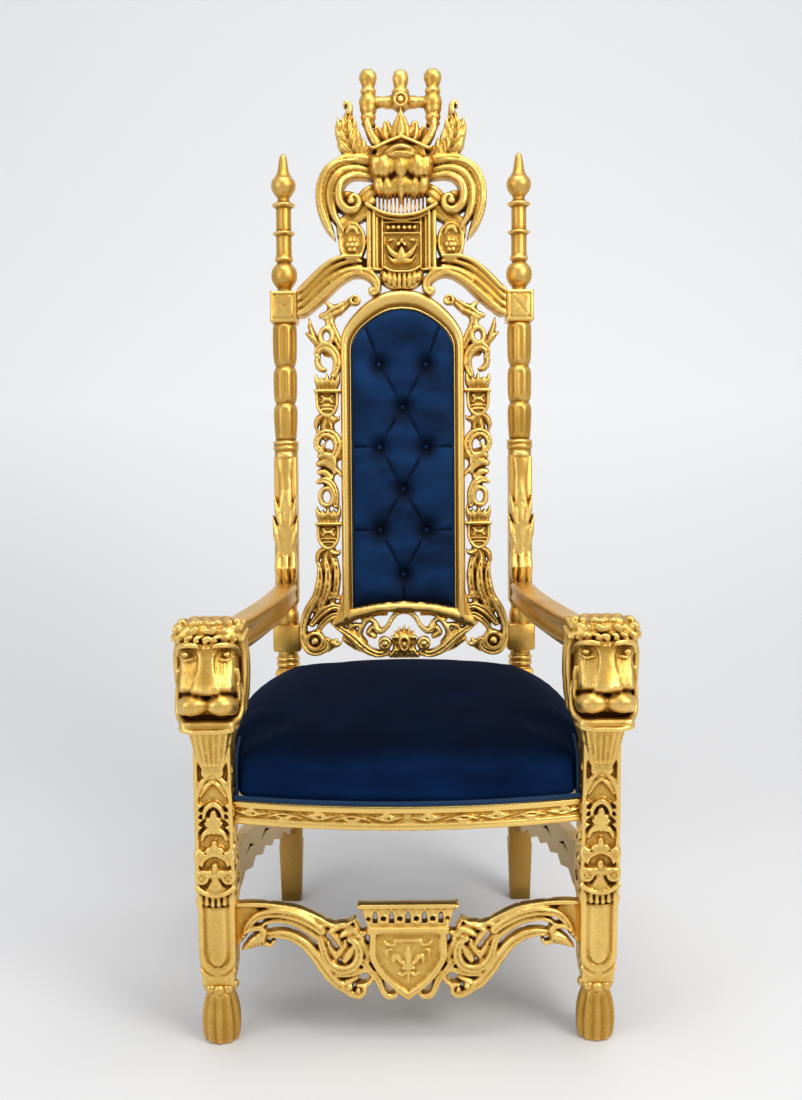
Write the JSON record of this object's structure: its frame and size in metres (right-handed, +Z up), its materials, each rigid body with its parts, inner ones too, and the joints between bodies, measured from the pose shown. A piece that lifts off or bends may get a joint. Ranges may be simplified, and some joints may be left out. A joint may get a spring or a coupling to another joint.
{
  "type": "throne",
  "caption": "Tall carved and gilded armchair throne with turned posts, pierced crest, lion-head arms, domed velvet seat and buttoned velvet back.",
  "frame": {"origin": "on the floor, at the bottom centre of the bounding box", "axes": "+Z up, the sitter looks along -Y, +X to the right of someone who stands in front and looks at the throne"},
  "size_m": [0.7914, 0.8528, 1.8298],
  "materials": {
    "gilded_wood": "gilded and antiqued, satin",
    "bronzed_wood": "dull bronze-gold paint",
    "velvet": "deep blue velvet",
    "braid": "woven blue braid"
  },
  "bodies": {
    "root": {"back_post_left": "gilded_wood", "back_post_right": "gilded_wood", "crest": "gilded_wood", "back_frame": "gilded_wood", "back_cushion": "velvet", "back_button_1": "velvet", "back_button_2": "velvet", "back_button_3": "velvet", "back_button_4": "velvet", "back_button_5": "velvet", "back_button_6": "velvet", "back_button_7": "velvet", "back_button_8": "velvet", "back_button_9": "velvet", "seat_cushion": "velvet", "seat_gimp": "braid", "front_rail": "gilded_wood", "side_rail_left": "bronzed_wood", "side_rail_right": "bronzed_wood", "back_rail": "bronzed_wood", "front_leg_left": "gilded_wood", "front_leg_right": "gilded_wood", "arm_left": "gilded_wood", "arm_right": "gilded_wood", "front_stretcher": "gilded_wood", "side_stretcher_left": "bronzed_wood", "side_stretcher_right": "bronzed_wood"}
  },
  "joints": []
}
